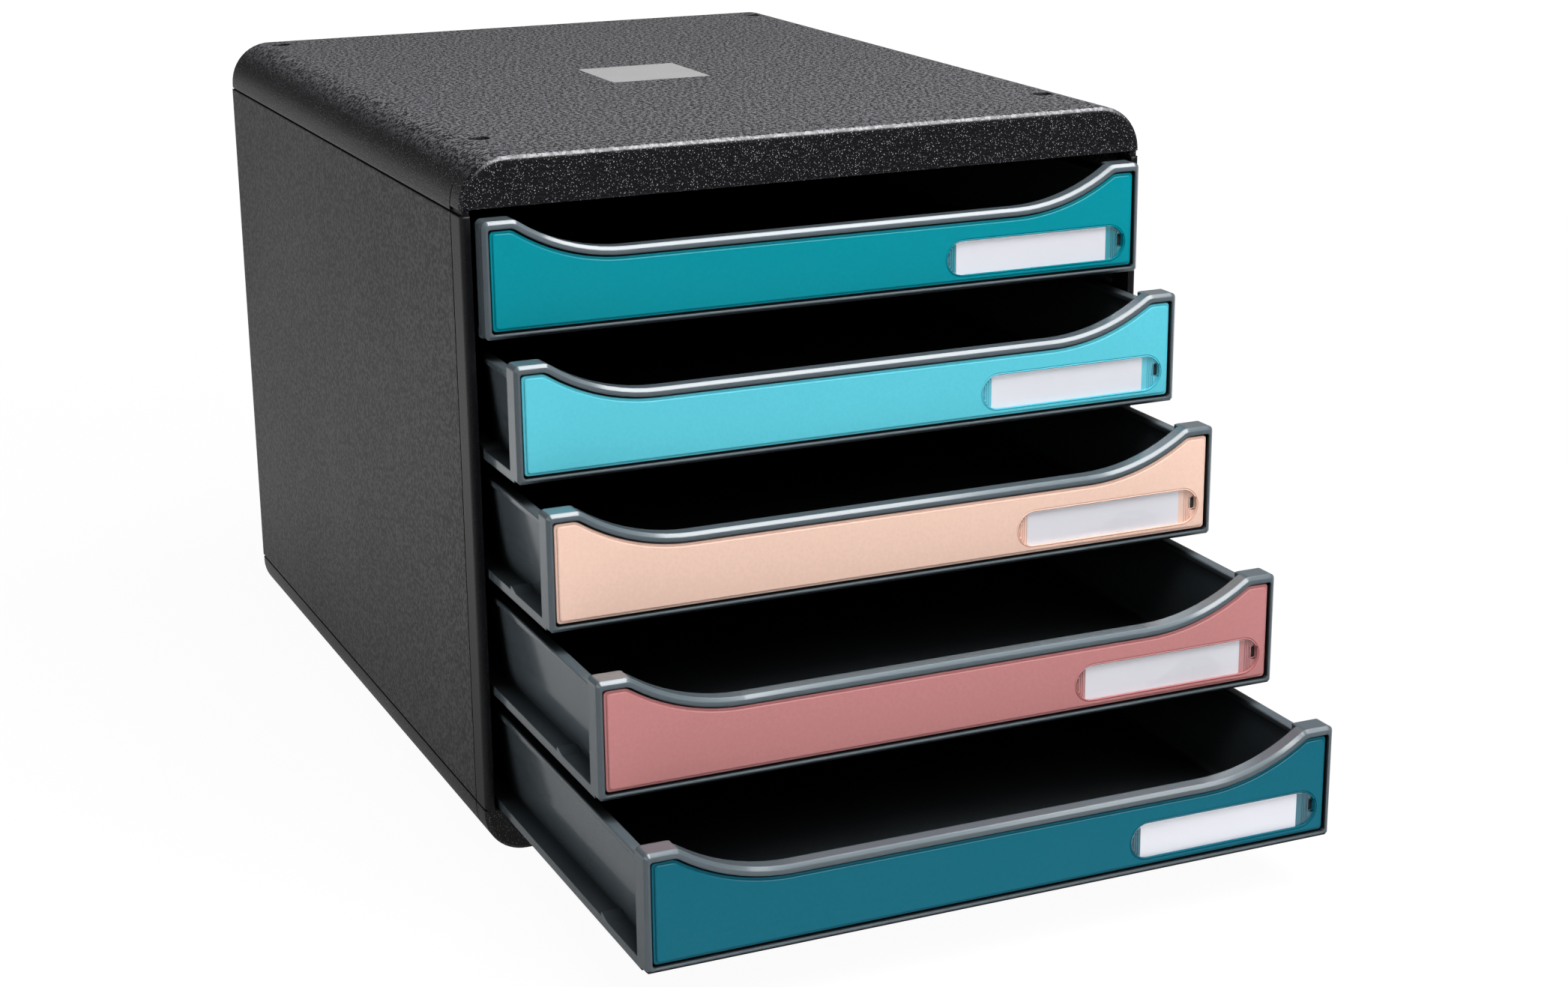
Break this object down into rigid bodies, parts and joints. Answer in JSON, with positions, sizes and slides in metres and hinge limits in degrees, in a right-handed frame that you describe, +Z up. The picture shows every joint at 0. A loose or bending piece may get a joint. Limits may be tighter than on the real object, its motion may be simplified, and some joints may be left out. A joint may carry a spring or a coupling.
{
  "type": "desktop drawer module",
  "caption": "Desktop drawer module: a black moulded cabinet with rounded long edges and pull-out paper trays with scooped fronts, coloured panels and label windows.",
  "frame": {"origin": "middle of the cabinet's footprint on the surface that it stands on", "axes": "+Z up, the drawer fronts face -Y, +X to the right as seen from the front"},
  "size_m": [0.278, 0.501, 0.267],
  "materials": {
    "cabinet_black": "fine leather grain, satin black",
    "foot_black": "plain matte black",
    "plate_silver": "satin silver-grey, bare",
    "drawer_grey": "satin blue-grey",
    "panel_teal": "glossy teal",
    "panel_turquoise": "glossy turquoise",
    "panel_peach": "glossy peach",
    "panel_rose": "glossy dusty rose",
    "panel_petrol": "glossy petrol blue",
    "card_white": "white label card",
    "window_clear": "clear, ribbed behind its ends"
  },
  "bodies": {
    "cabinet": {"lid": "cabinet_black", "lid_front_band": "cabinet_black", "base": "cabinet_black", "base_front_band": "cabinet_black", "side_panel_left": "cabinet_black", "side_panel_right": "cabinet_black", "front_post_left": "cabinet_black", "front_post_right": "cabinet_black", "back_panel": "cabinet_black", "bare_plate": "plate_silver", "runner_left_1": "cabinet_black", "runner_left_2": "cabinet_black", "runner_left_3": "cabinet_black", "runner_left_4": "cabinet_black", "runner_left_5": "cabinet_black", "runner_right_1": "cabinet_black", "runner_right_2": "cabinet_black", "runner_right_3": "cabinet_black", "runner_right_4": "cabinet_black", "runner_right_5": "cabinet_black", "foot_front_left": "foot_black", "foot_front_right": "foot_black", "foot_rear_left": "foot_black", "foot_rear_right": "foot_black"},
    "drawer_1": {"drawer_1_tray": "drawer_grey", "drawer_1_colour_panel": "panel_teal", "drawer_1_label_card": "card_white", "drawer_1_label_window": "window_clear"},
    "drawer_2": {"drawer_2_tray": "drawer_grey", "drawer_2_colour_panel": "panel_turquoise", "drawer_2_label_card": "card_white", "drawer_2_label_window": "window_clear"},
    "drawer_3": {"drawer_3_tray": "drawer_grey", "drawer_3_colour_panel": "panel_peach", "drawer_3_label_card": "card_white", "drawer_3_label_window": "window_clear"},
    "drawer_4": {"drawer_4_tray": "drawer_grey", "drawer_4_colour_panel": "panel_rose", "drawer_4_label_card": "card_white", "drawer_4_label_window": "window_clear"},
    "drawer_5": {"drawer_5_tray": "drawer_grey", "drawer_5_colour_panel": "panel_petrol", "drawer_5_label_card": "card_white", "drawer_5_label_window": "window_clear"}
  },
  "joints": [
    {"name": "drawer_1_slide", "type": "slide", "parent": "cabinet", "child": "drawer_1", "axis": [0, -1, 0], "range_m": [-0.0092, 0.2588]},
    {"name": "drawer_2_slide", "type": "slide", "parent": "cabinet", "child": "drawer_2", "axis": [0, -1, 0], "range_m": [-0.0388, 0.2292]},
    {"name": "drawer_3_slide", "type": "slide", "parent": "cabinet", "child": "drawer_3", "axis": [0, -1, 0], "range_m": [-0.0681, 0.1999]},
    {"name": "drawer_4_slide", "type": "slide", "parent": "cabinet", "child": "drawer_4", "axis": [0, -1, 0], "range_m": [-0.1132, 0.1548]},
    {"name": "drawer_5_slide", "type": "slide", "parent": "cabinet", "child": "drawer_5", "axis": [0, -1, 0], "range_m": [-0.154, 0.114]}
  ]
}
